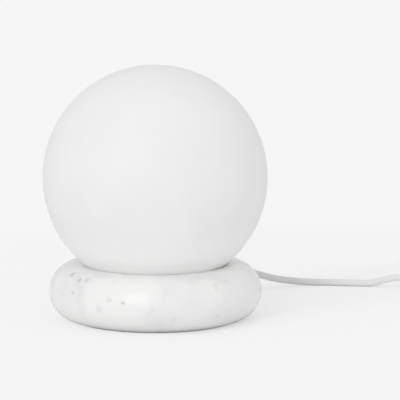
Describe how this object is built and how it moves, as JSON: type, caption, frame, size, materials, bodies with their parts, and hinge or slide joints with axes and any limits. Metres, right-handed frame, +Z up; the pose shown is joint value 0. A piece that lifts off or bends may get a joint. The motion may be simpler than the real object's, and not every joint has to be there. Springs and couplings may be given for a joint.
{
  "type": "table lamp",
  "caption": "Table lamp: an opal glass globe that lifts off a round marble ring base, over a screw-in bulb in its lampholder, with a corded rocker switch and mains plug.",
  "frame": {"origin": "centre of the ring base's underside, on the surface it stands on", "axes": "+Z up through the globe, +Y to the back where the cord leaves, +X to the viewer's right"},
  "size_m": [0.4944, 0.267, 0.2268],
  "materials": {
    "marble": "polished white marble with faint grey specks and veins",
    "opal_glass": "satin etched opal white",
    "pad_rubber": "closed-cell foam",
    "seal_silicone": "translucent silicone",
    "zinc_steel": "zinc plated",
    "spring_steel": "bright spring steel",
    "grip_plastic": "natural nylon",
    "cord_cloth": "light grey braided textile over the sheath",
    "white_plastic": "fine satin",
    "holder_plastic": "moulded, satin",
    "contact_brass": "pressed",
    "core_ceramic": "unglazed",
    "wire_brown": "PVC",
    "wire_blue": "PVC",
    "cap_metal": "nickel plated",
    "bulb_insulation": "black insulator",
    "bulb_plastic": "white thermoplastic",
    "dome_plastic": "frosted diffuser",
    "board_white": "white lacquered board",
    "chip_yellow": "phosphor",
    "board_green": "laminate",
    "capacitor_sleeve": "shrink sleeve",
    "tie_cloth": "hook-and-loop strap",
    "plated_brass": "nickel plated brass"
  },
  "bodies": {
    "root": {"marble_ring": "marble", "base_pad": "pad_rubber", "globe_gasket": "seal_silicone", "base_plate": "zinc_steel", "gallery_plate": "zinc_steel", "clamp_screws": "zinc_steel", "clamp_nuts": "zinc_steel", "nipple_nut": "zinc_steel", "lock_washer": "zinc_steel", "nipple": "zinc_steel", "cord_grip_screws": "zinc_steel", "switch_screws": "zinc_steel", "spring_clip_1": "spring_steel", "spring_clip_2": "spring_steel", "spring_clip_3": "spring_steel", "clip_rivets": "spring_steel", "cord_grip_block": "grip_plastic", "cord_grip_cover": "grip_plastic", "inner_cord": "cord_cloth", "cord_lead": "cord_cloth", "cord_tail": "cord_cloth", "cord_coil": "cord_cloth", "cord_end": "cord_cloth", "cord_boot": "white_plastic", "switch_base": "white_plastic", "switch_cover": "white_plastic", "switch_collars": "white_plastic", "plug_body": "white_plastic", "holder_cap": "holder_plastic", "holder_sleeve": "holder_plastic", "screw_shell": "contact_brass", "centre_contact": "contact_brass", "terminals": "contact_brass", "switch_contacts": "contact_brass", "holder_core": "core_ceramic", "wire_live": "wire_brown", "wire_neutral": "wire_blue", "cord_tie": "tie_cloth", "plug_pins": "plated_brass"},
    "globe": {"glass_globe": "opal_glass"},
    "bulb_slide": {"bulb_contact": "cap_metal"},
    "bulb": {"bulb_insulator": "bulb_insulation", "bulb_cap": "cap_metal", "bulb_housing": "bulb_plastic", "bulb_dome": "dome_plastic", "led_board": "board_white", "led_chips": "chip_yellow", "driver_board": "board_green", "driver_capacitor": "capacitor_sleeve"},
    "rocker": {"switch_rocker": "white_plastic"}
  },
  "joints": [
    {"name": "globe_lift", "type": "slide", "parent": "root", "child": "globe", "axis": [0, 0, 1], "range_m": [0, 0.18]},
    {"name": "bulb_rise", "type": "slide", "parent": "root", "child": "bulb_slide", "axis": [0, 0, 1], "range_m": [0, 0.02542]},
    {"name": "bulb_turn", "type": "hinge", "parent": "bulb_slide", "child": "bulb", "pos_m": [0, 0, 0.0685], "axis": [0, 0, 1], "range_deg": [0, 2520]},
    {"name": "switch_rock", "type": "hinge", "parent": "root", "child": "rocker", "pos_m": [0.282, 0.155, 0.016], "axis": [0, -1, 0], "range_deg": [0, 12]}
  ],
  "couplings": [
    {"joint": "bulb_rise", "follows": "bulb_turn", "m_per_rad": 0.00057757}
  ]
}
